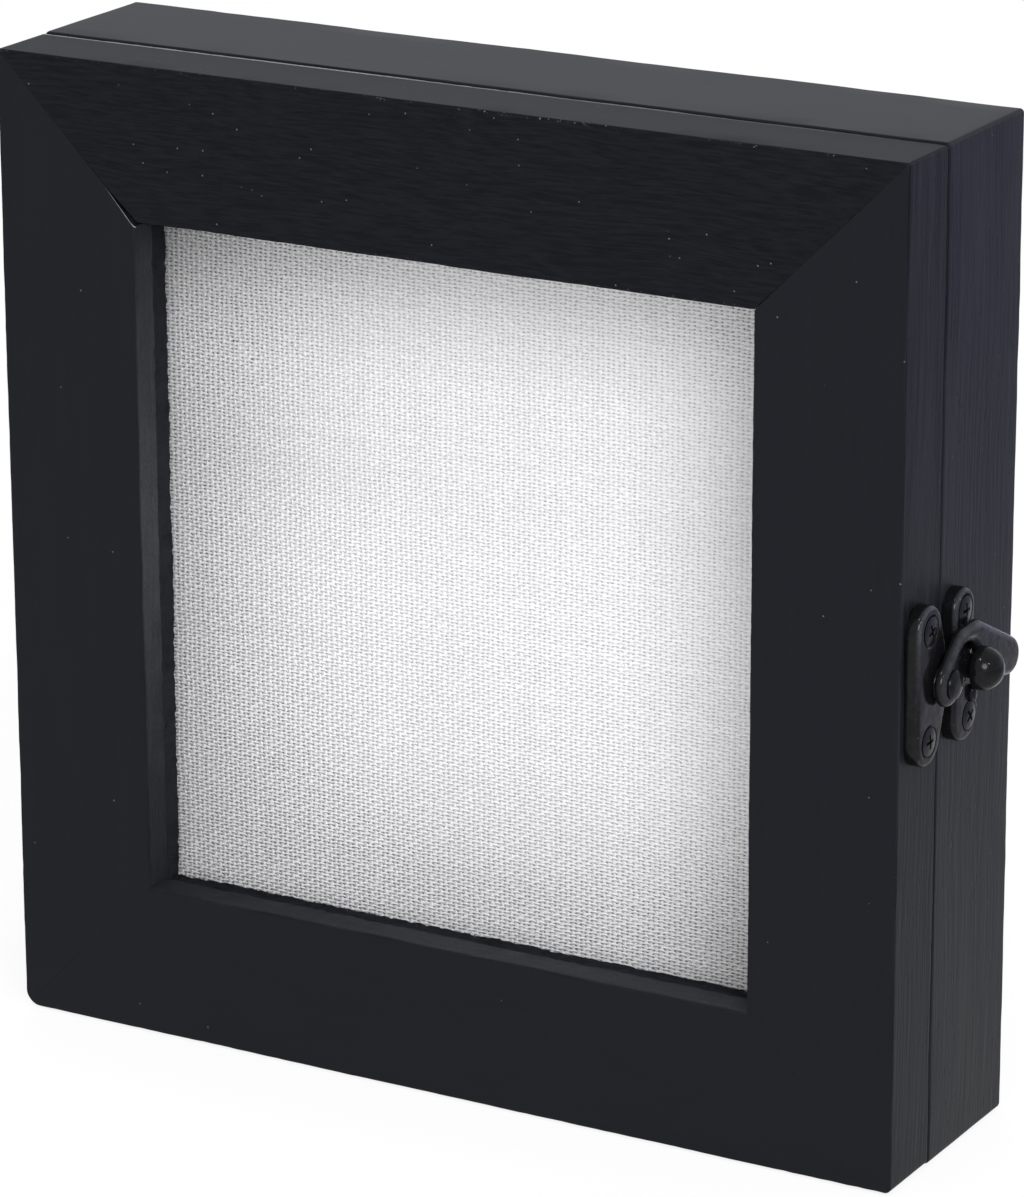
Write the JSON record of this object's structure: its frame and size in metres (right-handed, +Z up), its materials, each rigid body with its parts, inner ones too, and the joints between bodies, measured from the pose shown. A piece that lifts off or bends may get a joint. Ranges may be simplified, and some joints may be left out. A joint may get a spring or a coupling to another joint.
{
  "type": "butterfly display case",
  "caption": "Black wooden shadow box with a glazed, mitred door, a linen-covered pinning board and a swing-hook latch.",
  "frame": {"origin": "centre of the box's bottom face, on which the case stands, midway across its width and through the depth of the box behind the door", "axes": "+Z up, -Y towards the viewer (the door's front), +Y to the back, +X to the side with the latch, which is on the viewer's right"},
  "size_m": [0.2149, 0.05, 0.2035],
  "materials": {
    "painted_wood": "black satin paint over brushed grain",
    "black_metal": "glossy black enamel",
    "steel_fastener": "bright zinc",
    "clear_glass": "clear float glass",
    "linen": "plain weave, off-white",
    "cork_board": "pressed board that takes pins",
    "back_board": "plain hardboard"
  },
  "bodies": {
    "box": {"top_wall": "painted_wood", "bottom_wall": "painted_wood", "left_wall": "painted_wood", "right_wall": "painted_wood", "wall_corner_brads": "steel_fastener", "back_panel": "back_board", "back_panel_points": "steel_fastener", "pinning_board": "cork_board", "linen_lining": "linen", "sawtooth_hanger": "steel_fastener", "hanger_nails": "steel_fastener", "upper_hinge_case_leaf": "black_metal", "lower_hinge_case_leaf": "black_metal", "upper_hinge_pin": "black_metal", "lower_hinge_pin": "black_metal", "case_hinge_screws": "black_metal", "catch_plate": "black_metal", "catch_stud": "black_metal", "catch_plate_screws": "black_metal"},
    "door": {"door_top_rail": "painted_wood", "door_bottom_rail": "painted_wood", "door_left_rail": "painted_wood", "door_right_rail": "painted_wood", "door_corner_nails": "steel_fastener", "glass_pane": "clear_glass", "glazing_bead_top": "painted_wood", "glazing_bead_bottom": "painted_wood", "glazing_bead_left": "painted_wood", "glazing_bead_right": "painted_wood", "bead_pins": "steel_fastener", "upper_hinge_door_leaf": "black_metal", "lower_hinge_door_leaf": "black_metal", "door_hinge_screws": "black_metal", "hook_plate": "black_metal", "hook_rivet": "black_metal", "hook_plate_screws": "black_metal"},
    "hook": {"swing_hook": "black_metal"}
  },
  "joints": [
    {"name": "door_swing", "type": "hinge", "parent": "box", "child": "door", "pos_m": [-0.10205, -0.0168, 0.10175], "axis": [0, 0, -1], "range_deg": [0, 180]},
    {"name": "hook_swing", "type": "hinge", "parent": "door", "child": "hook", "pos_m": [0.10465, -0.022, 0.10125], "axis": [1, 0, 0], "range_deg": [0, 105]}
  ]
}
